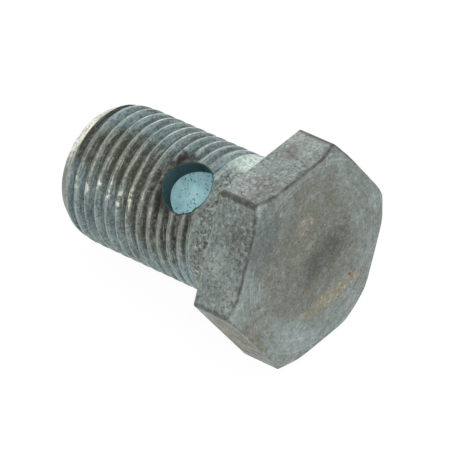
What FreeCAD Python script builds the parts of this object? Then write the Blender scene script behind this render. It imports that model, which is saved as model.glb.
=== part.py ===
"""Hollow hexagon-head overflow bolt, M16 x 1.5, lying as it comes to rest.

The bolt is one turned and drilled piece of steel: a thin hexagon head with its corners
chamfered, a hollow threaded shank open at the tip, and a cross hole through the shank
where the thread runs out. Sizes are in millimetres.

The body is drawn with the bolt's axis along Z: the seat under the head is at Z = 0, the
head is above it and the tip below. The body's placement then lays it down on one flat of
the head and on the thread's outer edge next to the tip, with the origin where the axis of
the bore meets that of the cross hole.
"""
import FreeCAD, Part
import math
import os
import Sketcher

Vector = FreeCAD.Vector
SHEET = "sizes"
NODE = "overflow_bolt"

# Driving dimensions: name, value, and what it measures.
SIZES = (
    ("across_flats", 22.0, "hexagon, flat to flat"),
    ("head_height", 5.65, "seat to the flat top"),
    ("corner_cut", 1.15, "taken off each upper corner, measured inwards"),
    ("corner_angle", 35.0, "corner chamfer, from the plane of the seat"),
    ("corner_radius", 0.3, "rounding of the six upright edges"),
    ("seat_edge_break", 0.2, "chamfer round the edge of the seat"),
    ("shank_diameter", 15.85, "smooth shank and thread crests"),
    ("shank_length", 24.3, "seat to the end of the tip"),
    ("tip_chamfer", 1.35, "chamfer at the start of the thread"),
    ("thread_pitch", 1.5, "thread, turn to turn"),
    ("thread_angle", 60.0, "thread groove, flank to flank"),
    ("crest_share", 0.25, "part of the pitch left as flat crest"),
    ("full_thread_end", 11.04, "seat to the last groove of full depth"),
    ("runout_length", 5.0, "stretch in which the groove fades out"),
    ("root_wall", 1.15, "wall left between the bore and the bottom of the thread"),
    ("bore_end", 3.2, "seat to the flat end of the bore"),
    ("bore_mouth_break", 0.3, "chamfer round the mouth of the bore"),
    ("cross_diameter", 5.9, "hole across the shank"),
    ("cross_offset", 7.55, "seat to the middle of the cross hole"),
    ("cross_azimuth", 210.0, "direction of the cross hole from the lower flat"),
    ("cross_edge_break", 0.35, "chamfer round both mouths of the cross hole"),
    ("cutter_margin", 0.8, "reach of a cut past the surface that it opens"),
)

# Expressions that several features share, with the sheet's names in them.
CORNER_RADIUS = "sizes.across_flats / sqrt(3)"
SHANK_RADIUS = "sizes.shank_diameter / 2"
TIP = "-sizes.shank_length"
HALF_GROOVE = "sizes.thread_pitch * (1 - sizes.crest_share) / 2"
GROOVE_DEPTH = HALF_GROOVE + " / tan(sizes.thread_angle / 2 * 1 deg)"
BORE_RADIUS = f"({SHANK_RADIUS} - {GROOVE_DEPTH} - sizes.root_wall)"
# The groove is drawn a little past the crests, but never as wide as the pitch.
GROOVE_REACH = "sizes.thread_pitch * sizes.crest_share / 4 / tan(sizes.thread_angle / 2 * 1 deg)"
# The bolt touches the ground above the seat's broken edge and where the tip's chamfer ends.
LEAN = ("atan((sizes.across_flats - sizes.shank_diameter) / 2"
        " / (sizes.shank_length - sizes.tip_chamfer + sizes.seat_edge_break))")


def make_sheet(doc):
    """Write the driving dimensions into a sheet, one named cell each."""
    sheet = doc.addObject("Spreadsheet::Sheet", SHEET)
    for row, (name, value, meaning) in enumerate(SIZES, start=1):
        sheet.set(f"A{row}", name)
        sheet.set(f"B{row}", str(value))
        sheet.set(f"C{row}", meaning)
        sheet.setAlias(f"B{row}", name)
    doc.recompute()
    return sheet


def origin_plane(body, role):
    """One of the body's own origin planes."""
    return next(plane for plane in body.Origin.OriginFeatures if plane.Role == role)


def new_sketch(body, name, role):
    """A sketch on one of the body's origin planes."""
    sketch = body.newObject("Sketcher::SketchObject", name)
    sketch.AttachmentSupport = [(origin_plane(body, role), "")]
    sketch.MapMode = "FlatFace"
    return sketch


def dimension(sketch, name, expression, kind, *where):
    """Add a named dimension and bind it to the sheet."""
    index = sketch.addConstraint(Sketcher.Constraint(kind, *where))
    sketch.renameConstraint(index, name)
    sketch.setExpression("Constraints." + name, expression)


def closed_outline(sketch, points):
    """Join the points by lines, end to end, and return the lines' numbers."""
    lines = []
    for start, end in zip(points, points[1:] + points[:1]):
        lines.append(sketch.addGeometry(Part.LineSegment(Vector(*start), Vector(*end)), False))
    for first, second in zip(lines, lines[1:] + lines[:1]):
        sketch.addConstraint(Sketcher.Constraint("Coincident", first, 2, second, 1))
    return lines


def turned_cut(body, name, sketch, axis):
    """Cut the sketched half section out of the body, all the way round an axis."""
    groove = body.newObject("PartDesign::Groove", name)
    groove.Profile = sketch
    groove.ReferenceAxis = (sketch, [axis])
    groove.Angle = 360
    return groove


def round_edge(shape, radius, height):
    """The name of the full round edge with this radius, level at this height."""
    for number, edge in enumerate(shape.Edges, start=1):
        box = edge.BoundBox
        level = abs(box.ZMin - height) < 1e-4 and abs(box.ZMax - height) < 1e-4
        if level and abs(box.XLength - 2 * radius) < 1e-3 and edge.isClosed():
            return f"Edge{number}"
    raise RuntimeError(f"no round edge of radius {radius} at height {height}")


def add_head(body, sheet):
    """Pad the hexagon, round its upright edges and break the edge of its seat."""
    sketch = new_sketch(body, "head_outline", "XY_Plane")
    apothem = sheet.across_flats / 2
    circumradius = apothem / math.cos(math.radians(30))
    corners = []
    for step in range(6):
        angle = math.radians(30 + 60 * step)
        corners.append((circumradius * math.cos(angle), circumradius * math.sin(angle), 0))
    sides = closed_outline(sketch, corners)
    ring = sketch.addGeometry(Part.Circle(Vector(), Vector(0, 0, 1), circumradius), True)
    sketch.addConstraint(Sketcher.Constraint("Coincident", ring, 3, -1, 1))
    for side in sides:
        sketch.addConstraint(Sketcher.Constraint("PointOnObject", side, 1, ring))
    for side in sides[1:]:
        sketch.addConstraint(Sketcher.Constraint("Equal", sides[0], side))
    # The last side crosses the X axis, and is the flat that the bolt lies on.
    sketch.addConstraint(Sketcher.Constraint("Vertical", sides[5]))
    dimension(sketch, "apothem", "sizes.across_flats / 2", "Distance", -1, 1, sides[5], apothem)

    head = body.newObject("PartDesign::Pad", "head")
    head.Profile = sketch
    head.setExpression("Length", "sizes.head_height")
    body.Document.recompute()

    rounding = body.newObject("PartDesign::Fillet", "head_corners")
    upright = []
    for number, edge in enumerate(head.Shape.Edges, start=1):
        if abs(edge.tangentAt(edge.FirstParameter).z) > 0.99:
            upright.append(f"Edge{number}")
    rounding.Base = (head, upright)
    rounding.setExpression("Radius", "sizes.corner_radius")
    body.Document.recompute()

    seat_edge = body.newObject("PartDesign::Chamfer", "seat_edge")
    lower = []
    for number, edge in enumerate(rounding.Shape.Edges, start=1):
        if edge.BoundBox.ZMax < 1e-4:
            lower.append(f"Edge{number}")
    seat_edge.Base = (rounding, lower)
    seat_edge.setExpression("Size", "sizes.seat_edge_break")
    body.Document.recompute()


def add_corner_chamfers(body, sheet):
    """Turn the chamfers that take off the head's six upper corners."""
    sketch = new_sketch(body, "corner_section", "XZ_Plane")
    corner = sheet.across_flats / math.sqrt(3)
    rim = corner - sheet.corner_cut
    top = sheet.head_height
    outside = corner + sheet.cutter_margin
    drop = (outside - rim) * math.tan(math.radians(sheet.corner_angle))
    lines = closed_outline(sketch, [
        (rim, top, 0),
        (outside, top - drop, 0),
        (outside, top, 0),
    ])
    slope, side, lid = lines
    sketch.addConstraint(Sketcher.Constraint("Vertical", side))
    sketch.addConstraint(Sketcher.Constraint("Horizontal", lid))
    dimension(sketch, "rim_radius", f"{CORNER_RADIUS} - sizes.corner_cut",
              "DistanceX", -1, 1, slope, 1, rim)
    dimension(sketch, "top", "sizes.head_height", "DistanceY", -1, 1, slope, 1, top)
    dimension(sketch, "outside", f"{CORNER_RADIUS} + sizes.cutter_margin",
              "DistanceX", -1, 1, slope, 2, outside)
    dimension(sketch, "drop", "(sizes.corner_cut + sizes.cutter_margin) * tan(sizes.corner_angle * 1 deg)",
              "DistanceY", slope, 2, slope, 1, drop)
    turned_cut(body, "corner_chamfers", sketch, "V_Axis")


def add_shank(body, sheet):
    """Pad the shank down from the seat and chamfer its tip."""
    radius = sheet.shank_diameter / 2
    sketch = new_sketch(body, "shank_outline", "XY_Plane")
    circle = sketch.addGeometry(Part.Circle(Vector(), Vector(0, 0, 1), radius), False)
    sketch.addConstraint(Sketcher.Constraint("Coincident", circle, 3, -1, 1))
    dimension(sketch, "radius", SHANK_RADIUS, "Radius", circle, radius)

    shank = body.newObject("PartDesign::Pad", "shank")
    shank.Profile = sketch
    shank.Reversed = True
    shank.setExpression("Length", "sizes.shank_length")
    body.Document.recompute()

    tip = body.newObject("PartDesign::Chamfer", "tip")
    tip.Base = (shank, [round_edge(shank.Shape, radius, -sheet.shank_length)])
    tip.setExpression("Size", "sizes.tip_chamfer")
    body.Document.recompute()


def add_thread(body, sheet):
    """Cut the right-hand thread, which fades out on its way to the smooth shank."""
    radius = sheet.shank_diameter / 2
    half = sheet.thread_pitch * (1 - sheet.crest_share) / 2
    slope = math.tan(math.radians(sheet.thread_angle / 2))
    depth = half / slope
    reach = sheet.thread_pitch * sheet.crest_share / 4 / slope
    height = -sheet.full_thread_end
    sketch = new_sketch(body, "thread_section", "XZ_Plane")
    lines = closed_outline(sketch, [
        (radius + reach, height + half + reach * slope, 0),
        (radius - depth, height, 0),
        (radius + reach, height - half - reach * slope, 0),
    ])
    sketch.addConstraint(Sketcher.Constraint("Vertical", lines[2]))
    sketch.addConstraint(Sketcher.Constraint("Equal", lines[0], lines[1]))
    dimension(sketch, "root_radius", f"{SHANK_RADIUS} - {GROOVE_DEPTH}",
              "DistanceX", -1, 1, lines[0], 2, radius - depth)
    dimension(sketch, "outer_radius", f"{SHANK_RADIUS} + {GROOVE_REACH}",
              "DistanceX", -1, 1, lines[2], 1, radius + reach)
    dimension(sketch, "height", "-sizes.full_thread_end", "DistanceY", -1, 1, lines[0], 2, height)
    dimension(sketch, "flanks", "sizes.thread_angle * 1 deg", "Angle",
              lines[0], 2, lines[1], 1, math.radians(sheet.thread_angle))

    thread = body.newObject("PartDesign::SubtractiveHelix", "thread")
    thread.Profile = sketch
    thread.ReferenceAxis = (sketch, ["V_Axis"])
    thread.Mode = "pitch-height-angle"
    thread.Reversed = True
    thread.setExpression("Pitch", "sizes.thread_pitch")
    thread.setExpression("Height", "sizes.shank_length - sizes.full_thread_end + sizes.thread_pitch")
    body.Document.recompute()

    runout = body.newObject("PartDesign::SubtractiveHelix", "thread_runout")
    runout.Profile = sketch
    runout.ReferenceAxis = (sketch, ["V_Axis"])
    runout.Mode = "pitch-height-angle"
    runout.setExpression("Pitch", "sizes.thread_pitch")
    runout.setExpression("Height", "sizes.runout_length")
    runout.setExpression("Angle", f"atan({GROOVE_DEPTH} / sizes.runout_length)")
    body.Document.recompute()


def add_bore(body, sheet):
    """Bore the shank from its tip to just short of the head, with a flat end."""
    groove_depth = (sheet.thread_pitch * (1 - sheet.crest_share) / 2
                    / math.tan(math.radians(sheet.thread_angle / 2)))
    radius = sheet.shank_diameter / 2 - groove_depth - sheet.root_wall
    mouth = radius + sheet.bore_mouth_break + sheet.cutter_margin
    tip = -sheet.shank_length
    below = tip - sheet.cutter_margin
    lip = tip + sheet.bore_mouth_break
    sketch = new_sketch(body, "bore_section", "XZ_Plane")
    lines = closed_outline(sketch, [
        (0, below, 0),
        (mouth, below, 0),
        (radius, lip, 0),
        (radius, -sheet.bore_end, 0),
        (0, -sheet.bore_end, 0),
    ])
    floor, flare, wall, bore_end, axis = lines
    for line in (floor, bore_end):
        sketch.addConstraint(Sketcher.Constraint("Horizontal", line))
    sketch.addConstraint(Sketcher.Constraint("Vertical", wall))
    for end in (1, 2):
        sketch.addConstraint(Sketcher.Constraint("PointOnObject", axis, end, -2))
    dimension(sketch, "radius", BORE_RADIUS, "DistanceX", -1, 1, wall, 1, radius)
    dimension(sketch, "mouth", f"{BORE_RADIUS} + sizes.bore_mouth_break + sizes.cutter_margin",
              "DistanceX", -1, 1, floor, 2, mouth)
    dimension(sketch, "below", f"{TIP} - sizes.cutter_margin", "DistanceY", -1, 1, floor, 2, below)
    dimension(sketch, "lip", f"{TIP} + sizes.bore_mouth_break", "DistanceY", -1, 1, wall, 1, lip)
    dimension(sketch, "bore_end", "-sizes.bore_end", "DistanceY", -1, 1, wall, 2, -sheet.bore_end)
    turned_cut(body, "bore", sketch, "V_Axis")
    body.Document.recompute()


def add_cross_hole(body, sheet):
    """Drill across the shank and both its walls, and break the edge of each mouth."""
    radius = sheet.cross_diameter / 2
    surface = sheet.shank_diameter / 2
    start = surface - sheet.cross_edge_break
    end = surface + sheet.cutter_margin
    flared = radius + sheet.cross_edge_break + sheet.cutter_margin
    sketch = new_sketch(body, "cross_section", "XZ_Plane")
    # The sketch is turned about the bolt's axis, and its own X axis is that of the hole.
    sketch.AttachmentOffset = FreeCAD.Placement(
        Vector(0, -sheet.cross_offset, 0), FreeCAD.Rotation(Vector(0, 1, 0), sheet.cross_azimuth))
    sketch.setExpression("AttachmentOffset.Base.y", "-sizes.cross_offset")
    sketch.setExpression("AttachmentOffset.Rotation.Angle", "sizes.cross_azimuth * 1 deg")
    lines = closed_outline(sketch, [
        (-end, 0, 0),
        (end, 0, 0),
        (end, flared, 0),
        (start, radius, 0),
        (-start, radius, 0),
        (-end, flared, 0),
    ])
    axis, side, flare, wall, far_flare, far_side = lines
    sketch.addConstraint(Sketcher.Constraint("PointOnObject", axis, 1, -1))
    for line in (side, far_side):
        sketch.addConstraint(Sketcher.Constraint("Vertical", line))
    sketch.addConstraint(Sketcher.Constraint("Symmetric", axis, 1, axis, 2, -1, 1))
    sketch.addConstraint(Sketcher.Constraint("Symmetric", wall, 1, wall, 2, -2))
    sketch.addConstraint(Sketcher.Constraint("Equal", side, far_side))
    dimension(sketch, "reach", f"{SHANK_RADIUS} + sizes.cutter_margin", "DistanceX", -1, 1, axis, 2, end)
    dimension(sketch, "flare_start", f"{SHANK_RADIUS} - sizes.cross_edge_break",
              "DistanceX", -1, 1, wall, 1, start)
    dimension(sketch, "radius", "sizes.cross_diameter / 2", "DistanceY", -1, 1, wall, 1, radius)
    dimension(sketch, "flared", "sizes.cross_diameter / 2 + sizes.cross_edge_break + sizes.cutter_margin",
              "DistanceY", -1, 1, side, 2, flared)
    turned_cut(body, "cross_hole", sketch, "H_Axis")
    body.Document.recompute()


def lay_down(body):
    """Tilt the bolt until a flat of its head and its thread lie on one level plane."""
    body.Placement = FreeCAD.Placement(Vector(), FreeCAD.Rotation(Vector(0, 1, 0), 80))
    body.setExpression("Placement.Rotation.Angle", f"90 deg - {LEAN}")
    # The middle of the cross hole comes to the origin.
    body.setExpression("Placement.Base.x", f"sizes.cross_offset * cos({LEAN})")
    body.setExpression("Placement.Base.z", f"sizes.cross_offset * sin({LEAN})")


def check(doc, body, solids):
    """Stop if a feature failed, if the solid is unsound or if a cut removed nothing."""
    for item in doc.Objects:
        if "Invalid" in item.State or "Error" in item.State:
            raise RuntimeError(f"{item.Label} failed: {item.State} {item.getStatusString()}")
    for item in solids:
        if item.Shape.isNull() or not item.Shape.isValid():
            raise RuntimeError(f"{item.Label} isn't a sound shape")
    if len(body.Shape.Solids) != 1:
        raise RuntimeError(f"{body.Label} isn't one solid")
    for earlier, later in zip(solids, solids[1:]):
        if later.Name in CUTS and not later.Shape.Volume < earlier.Shape.Volume - 1e-3:
            raise RuntimeError(f"{later.Name} cut nothing after {earlier.Name}")


CUTS = ("corner_chamfers", "thread", "thread_runout", "bore", "cross_hole")


def main():
    """Build the bolt, check it and write its solid."""
    doc = FreeCAD.newDocument(NODE)
    sheet = make_sheet(doc)
    body = doc.addObject("PartDesign::Body", NODE)
    body.Label = NODE
    for add in (add_head, add_corner_chamfers, add_shank, add_thread, add_bore, add_cross_hole):
        add(body, sheet)
        doc.recompute()
    lay_down(body)
    doc.recompute()
    solids = [item for item in body.Group if not item.isDerivedFrom("Sketcher::SketchObject")]
    check(doc, body, solids)
    os.makedirs("parts", exist_ok=True)
    body.Shape.exportStep(f"parts/{body.Label}.step")
    for item in solids:
        print(f"{item.Name}: {item.Shape.Volume:.1f} mm3")
    box = body.Shape.BoundBox
    print(f"box {box.XMin:.3f} {box.YMin:.3f} {box.ZMin:.3f} to {box.XMax:.3f} {box.YMax:.3f} {box.ZMax:.3f}")
    print(f"tilt {90 - math.degrees(body.Placement.Rotation.Angle):.4f} degrees")


main()
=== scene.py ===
"""A hollow hexagon-head bolt for an overflow line, lying on a pale studio floor.

The bolt is modelled upright on the bench in millimetres, with its axis on Z and its seat at
height 0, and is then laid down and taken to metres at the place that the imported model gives.
"""

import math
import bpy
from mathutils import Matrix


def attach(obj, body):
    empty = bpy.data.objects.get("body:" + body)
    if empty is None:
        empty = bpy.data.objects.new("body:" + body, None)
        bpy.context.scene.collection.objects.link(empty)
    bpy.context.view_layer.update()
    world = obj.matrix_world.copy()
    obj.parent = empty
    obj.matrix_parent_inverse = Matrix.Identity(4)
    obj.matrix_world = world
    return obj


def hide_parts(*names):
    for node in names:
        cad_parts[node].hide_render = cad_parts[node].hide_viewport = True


bl_info = {
    "name": "Hollow overflow bolt",
    "version": (1, 0, 0),
    "blender": (4, 5, 0),
    "location": "3D View > Sidebar > Bolt",
    "description": "Models and finishes a hollow bolt with a fine thread, and sets its stage",
    "category": "Add Mesh",
}

import bpy
from mathutils import Matrix, Vector

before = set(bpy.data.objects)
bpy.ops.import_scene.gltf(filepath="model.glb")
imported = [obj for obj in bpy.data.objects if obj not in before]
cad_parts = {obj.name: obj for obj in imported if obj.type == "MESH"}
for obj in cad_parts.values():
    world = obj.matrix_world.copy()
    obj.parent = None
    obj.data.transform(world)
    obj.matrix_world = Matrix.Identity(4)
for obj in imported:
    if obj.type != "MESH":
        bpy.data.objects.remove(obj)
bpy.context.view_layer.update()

MM = 0.001
BODY = "root"
BOLT_NODE = "overflow_bolt"

# The bolt lies on its head's lower edge and its tip, so its axis climbs towards the head.
LIE_ANGLE = math.radians(90.0 - 7.56627)

# Height of the thread groove's middle at the bench X axis, in millimetres.
GROOVE_START = -6.54

# Below this distance two bench points are one, in millimetres.
WELD = 0.0005

# How far the top of the head falls towards its rim, as a pressed head does, in millimetres.
DOME = 0.1

# Kinds of nodes and their settings, as the rows of the materials name them. SHARE gives its
# first input times the second, plus the third.
MATH = "ShaderNodeMath"
VECTOR = "ShaderNodeVectorMath"
RANGE = "ShaderNodeMapRange"
PLUS = {"operation": "ADD"}
MINUS = {"operation": "SUBTRACT"}
TIMES = {"operation": "MULTIPLY"}
OVER = {"operation": "DIVIDE"}
SHARE = {"operation": "MULTIPLY_ADD"}
MOST = {"operation": "MAXIMUM"}
UNSIGNED = {"operation": "ABSOLUTE"}
SOFT = {"interpolation_type": "SMOOTHSTEP"}


def srgb(code):
    """Turns an sRGB hex colour into Blender's linear red, green and blue."""
    values = []
    for start in (0, 2, 4):
        share = int(code[start : start + 2], 16) / 255.0
        if share <= 0.04045:
            values.append(share / 12.92)
        else:
            values.append(((share + 0.055) / 1.055) ** 2.4)
    return tuple(values)


class BoltSizes(bpy.types.PropertyGroup):
    """Sizes of the bolt."""

    across_flats: bpy.props.FloatProperty(
        name="Across flats",
        description="Width of the hexagon from flat to flat",
        default=0.022,
        subtype="DISTANCE",
        unit="LENGTH",
    )
    head_height: bpy.props.FloatProperty(
        name="Head height",
        description="Height of the head above its seat",
        default=0.00565,
        subtype="DISTANCE",
        unit="LENGTH",
    )
    corner_cut: bpy.props.FloatProperty(
        name="Corner cut",
        description="How far the cone on top of the head reaches in from each corner",
        default=0.00115,
        subtype="DISTANCE",
        unit="LENGTH",
    )
    corner_angle: bpy.props.FloatProperty(
        name="Corner angle",
        description="Slope of the cone on top of the head",
        default=math.radians(35.0),
        subtype="ANGLE",
        unit="ROTATION",
    )
    shank_diameter: bpy.props.FloatProperty(
        name="Shank diameter",
        description="Diameter over the thread's crests and the smooth shank",
        default=0.01585,
        subtype="DISTANCE",
        unit="LENGTH",
    )
    shank_length: bpy.props.FloatProperty(
        name="Shank length",
        description="Length from the seat to the tip",
        default=0.0243,
        subtype="DISTANCE",
        unit="LENGTH",
    )
    thread_pitch: bpy.props.FloatProperty(
        name="Thread pitch",
        description="Advance of the thread in one turn",
        default=0.0015,
        subtype="DISTANCE",
        unit="LENGTH",
    )
    thread_depth: bpy.props.FloatProperty(
        name="Thread depth",
        description="Depth of the full groove below its crests",
        default=0.0009,
        subtype="DISTANCE",
        unit="LENGTH",
    )
    tip_chamfer: bpy.props.FloatProperty(
        name="Tip chamfer",
        description="Length and depth of the chamfer at the tip",
        default=0.00135,
        subtype="DISTANCE",
        unit="LENGTH",
    )
    bore_diameter: bpy.props.FloatProperty(
        name="Bore",
        description="Diameter of the bore that opens at the tip",
        default=0.0116,
        subtype="DISTANCE",
        unit="LENGTH",
    )
    bore_end: bpy.props.FloatProperty(
        name="Bore end",
        description="Distance from the seat to the closed end of the bore",
        default=0.0032,
        subtype="DISTANCE",
        unit="LENGTH",
    )
    cross_diameter: bpy.props.FloatProperty(
        name="Cross hole",
        description="Diameter of the hole across the shank",
        default=0.0059,
        subtype="DISTANCE",
        unit="LENGTH",
    )
    cross_offset: bpy.props.FloatProperty(
        name="Cross hole place",
        description="Distance from the seat to the middle of the cross hole",
        default=0.00755,
        subtype="DISTANCE",
        unit="LENGTH",
    )
    cross_turn: bpy.props.FloatProperty(
        name="Cross hole turn",
        description="Direction of the cross hole round the bolt's axis",
        default=math.radians(210.0),
        subtype="ANGLE",
        unit="ROTATION",
    )


class BoltFinish(bpy.types.PropertyGroup):
    """Colours of the bolt's plating and of what has settled on it."""

    plating: bpy.props.FloatVectorProperty(
        name="Plating",
        description="Blue-grey of the dulled zinc",
        default=srgb("8b9794"),
        subtype="COLOR",
        size=3,
        min=0.0,
        max=1.0,
    )
    haze: bpy.props.FloatVectorProperty(
        name="Haze",
        description="Olive-brown haze of handling and old oil",
        default=srgb("6a6c60"),
        subtype="COLOR",
        size=3,
        min=0.0,
        max=1.0,
    )
    bloom: bpy.props.FloatVectorProperty(
        name="Bloom",
        description="Pale speckles of zinc salts",
        default=srgb("bcc4c8"),
        subtype="COLOR",
        size=3,
        min=0.0,
        max=1.0,
    )
    residue: bpy.props.FloatVectorProperty(
        name="Residue",
        description="Brown residue in the thread, round the cross hole and along edges",
        default=srgb("2d2b1e"),
        subtype="COLOR",
        size=3,
        min=0.0,
        max=1.0,
    )
    worn_crest: bpy.props.FloatVectorProperty(
        name="Worn crest",
        description="Cream of the crests where the plating is rubbed bright",
        default=srgb("d9d5c2"),
        subtype="COLOR",
        size=3,
        min=0.0,
        max=1.0,
    )
    # Partly painted light: the bore's fresh zinc is painted brighter and more cyan than it is, as
    # light bounced inside it.
    bore_zinc_and_light: bpy.props.FloatVectorProperty(
        name="Fresh zinc",
        description="Pale cyan of the untouched plating in the bore",
        default=srgb("d1f8fc"),
        subtype="COLOR",
        size=3,
        min=0.0,
        max=1.0,
    )


def clear_selection():
    """Leaves edit mode if need be and deselects every object."""
    if bpy.context.mode != "OBJECT":
        bpy.ops.object.mode_set(mode="OBJECT")
    bpy.ops.object.select_all(action="DESELECT")


def pick(piece):
    """Selects one object only and makes it active."""
    clear_selection()
    piece.select_set(True)
    bpy.context.view_layer.objects.active = piece


def draw_line(name, points):
    """Draws a chain of (radius, height) points in the XZ plane and stays in edit mode."""
    clear_selection()
    bpy.ops.mesh.primitive_plane_add(size=1.0, location=(0.0, 0.0, 0.0))
    piece = bpy.context.active_object
    piece.name = name
    bpy.ops.object.mode_set(mode="EDIT")
    bpy.ops.mesh.select_mode(type="VERT")
    bpy.ops.mesh.select_all(action="SELECT")
    bpy.ops.mesh.merge(type="CENTER")
    radius, height = points[0]
    bpy.ops.transform.translate(value=(radius, 0.0, height))
    for start, end in zip(points, points[1:]):
        step = (end[0] - start[0], 0.0, end[1] - start[1])
        bpy.ops.mesh.extrude_region_move(TRANSFORM_OT_translate={"value": step})
    return piece


def turn_solid(name, points, steps):
    """Turns a chain that starts and ends on the Z axis into a closed solid."""
    piece = draw_line(name, points)
    bpy.ops.mesh.select_all(action="SELECT")
    bpy.ops.mesh.spin(steps=steps, angle=math.tau, center=(0.0, 0.0, 0.0), axis=(0.0, 0.0, 1.0))
    bpy.ops.mesh.select_all(action="SELECT")
    bpy.ops.mesh.remove_doubles(threshold=WELD)
    bpy.ops.mesh.select_all(action="SELECT")
    bpy.ops.mesh.normals_make_consistent(inside=False)
    bpy.ops.object.mode_set(mode="OBJECT")
    return piece


def combine(piece, tool, operation):
    """Joins, cuts or intersects a piece with a tool and removes the tool."""
    pick(piece)
    step = piece.modifiers.new("Combine", "BOOLEAN")
    step.operation = operation
    step.solver = "EXACT"
    step.object = tool
    bpy.ops.object.modifier_apply(modifier=step.name)
    mesh = tool.data
    bpy.data.objects.remove(tool)
    bpy.data.meshes.remove(mesh)


def arc(centre, radius, start, end, count):
    """Gives count points of an arc in the XZ plane, angles in degrees from the radius axis."""
    points = []
    for step in range(count):
        angle = math.radians(start + (end - start) * step / (count - 1))
        points.append(
            (centre[0] + radius * math.cos(angle), centre[1] + radius * math.sin(angle))
        )
    return points


class BOLT_OT_hollow_bolt(bpy.types.Operator):
    """Models the hollow bolt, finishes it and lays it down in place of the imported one"""

    bl_idname = "bolt.hollow_bolt"
    bl_label = "Hollow bolt"
    bl_options = {"REGISTER", "UNDO"}

    # Depth of the groove against its height: (height, share of the full depth).
    runout = (
        (-40.0, 0.0),
        (-23.4, 0.1),
        (-22.5, 1.0),
        (-11.5, 1.0),
        (-10.1, 0.9),
        (-8.6, 0.82),
        (-7.0, 0.7),
        (-6.0, 0.54),
        (-5.3, 0.36),
        (-4.9, 0.14),
        (-4.6, 0.0),
    )
    # Steps round the axis.
    turn_steps = 120
    blank_steps = 160
    bore_steps = 128
    cross_steps = 96
    # How high the threaded rod and its blank reach into the head, in millimetres.
    rod_top = 1.6
    blank_top = 2.5
    # Rounding of the head's upright edges and of its seat's edge, and the wear of the rest.
    side_round = 0.2
    seat_round = 0.22
    edge_wear = 0.1

    def groove_share(self, height):
        """Gives how deep the groove is at a height, as a share of its full depth."""
        for low, high in zip(self.runout, self.runout[1:]):
            if height <= high[0]:
                way = (height - low[0]) / (high[0] - low[0])
                return low[1] + (high[1] - low[1]) * way
        return 0.0

    def threaded_rod(self, sizes):
        """Screws one pitch of the thread's profile up the shank and fades it below the head."""
        crest = sizes.shank_diameter / MM / 2.0
        pitch = sizes.thread_pitch / MM
        depth = sizes.thread_depth / MM
        length = sizes.shank_length / MM
        # Out to here the points draw in as the groove gets narrow, and the rest make the crest.
        half = pitch * 0.375
        # (distance from the groove's middle, share of the depth) over half a groove.
        side = (
            (0.0, 1.0),
            (0.06, 0.985),
            (0.115, 0.92),
            (0.49, 0.16),
            (0.57, 0.06),
            (0.64, 0.015),
            (0.7, 0.0),
        )
        profile = [(-distance, share) for distance, share in reversed(side[1:])] + list(side)
        profile = [(-pitch / 2.0, 0.0)] + profile + [(pitch / 2.0, 0.0)]
        below = math.ceil((length + GROOVE_START + 2.0 * pitch) / pitch)
        above = math.ceil((2.0 * pitch - GROOVE_START) / pitch)
        bottom = GROOVE_START - below * pitch
        points = [(crest - depth * share, bottom + distance) for distance, share in profile]
        rod = draw_line("hollow_bolt", points)
        bpy.ops.object.mode_set(mode="OBJECT")
        pick(rod)
        screw = rod.modifiers.new("Thread", "SCREW")
        screw.axis = "Z"
        screw.angle = math.tau
        screw.screw_offset = pitch
        screw.iterations = below + above
        screw.steps = self.turn_steps
        screw.render_steps = self.turn_steps
        bpy.ops.object.modifier_apply(modifier=screw.name)
        bpy.ops.object.mode_set(mode="EDIT")
        bpy.ops.mesh.select_all(action="SELECT")
        bpy.ops.mesh.remove_doubles(threshold=WELD)
        bpy.ops.object.mode_set(mode="OBJECT")
        self.fade_groove(rod.data, crest, pitch, half, sizes)
        bpy.ops.object.mode_set(mode="EDIT")
        ends = ((-length, -1.0), (self.rod_top, 1.0))
        for height, facing in ends:
            bpy.ops.mesh.select_all(action="SELECT")
            bpy.ops.mesh.bisect(
                plane_co=(0.0, 0.0, height),
                plane_no=(0.0, 0.0, facing),
                use_fill=True,
                clear_outer=True,
                threshold=0.00001,
            )
        bpy.ops.mesh.select_all(action="SELECT")
        bpy.ops.mesh.normals_make_consistent(inside=False)
        bpy.ops.object.mode_set(mode="OBJECT")
        return rod

    def mouth_share(self, place, sizes):
        """Gives how much of the groove is left near the cross hole, where it is filled."""
        # The filling starts a gap off the hole's wall and ends after its width, in millimetres.
        gap = 0.05
        width = 0.7
        least = 0.4
        side = place.y * math.cos(sizes.cross_turn) - place.x * math.sin(sizes.cross_turn)
        reach = math.hypot(side, place.z + sizes.cross_offset / MM)
        way = (reach - sizes.cross_diameter / MM / 2.0 - gap) / width
        way = min(1.0, max(0.0, way))
        return least + (1.0 - least) * way * way * (3.0 - 2.0 * way)

    def fade_groove(self, mesh, crest, pitch, half, sizes):
        """Makes the groove shallow and narrow towards the head, where the cutter drew back."""
        for vertex in mesh.vertices:
            turn = math.atan2(vertex.co.y, vertex.co.x) % math.tau
            middle = GROOVE_START + pitch * turn / math.tau
            offset = (vertex.co.z - middle + pitch / 2.0) % pitch - pitch / 2.0
            share = self.groove_share(vertex.co.z - offset) * self.mouth_share(vertex.co, sizes)
            if share == 1.0:
                continue
            radius = math.hypot(vertex.co.x, vertex.co.y)
            factor = (crest - (crest - radius) * share) / radius
            # A width of nothing would lay the groove's points on each other.
            width = max(share, 0.12)
            if abs(offset) <= half:
                moved = offset * width
            else:
                way = (abs(offset) - half) / (pitch / 2.0 - half)
                moved = math.copysign(half * width + way * (pitch / 2.0 - half * width), offset)
            vertex.co.x *= factor
            vertex.co.y *= factor
            vertex.co.z += moved - offset

    def tip_blank(self, sizes):
        """Turns the outside of the shank's blank, with the plain ring and chamfer at its tip."""
        radius = sizes.shank_diameter / MM / 2.0
        length = sizes.shank_length / MM
        end = radius - sizes.tip_chamfer / MM
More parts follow.
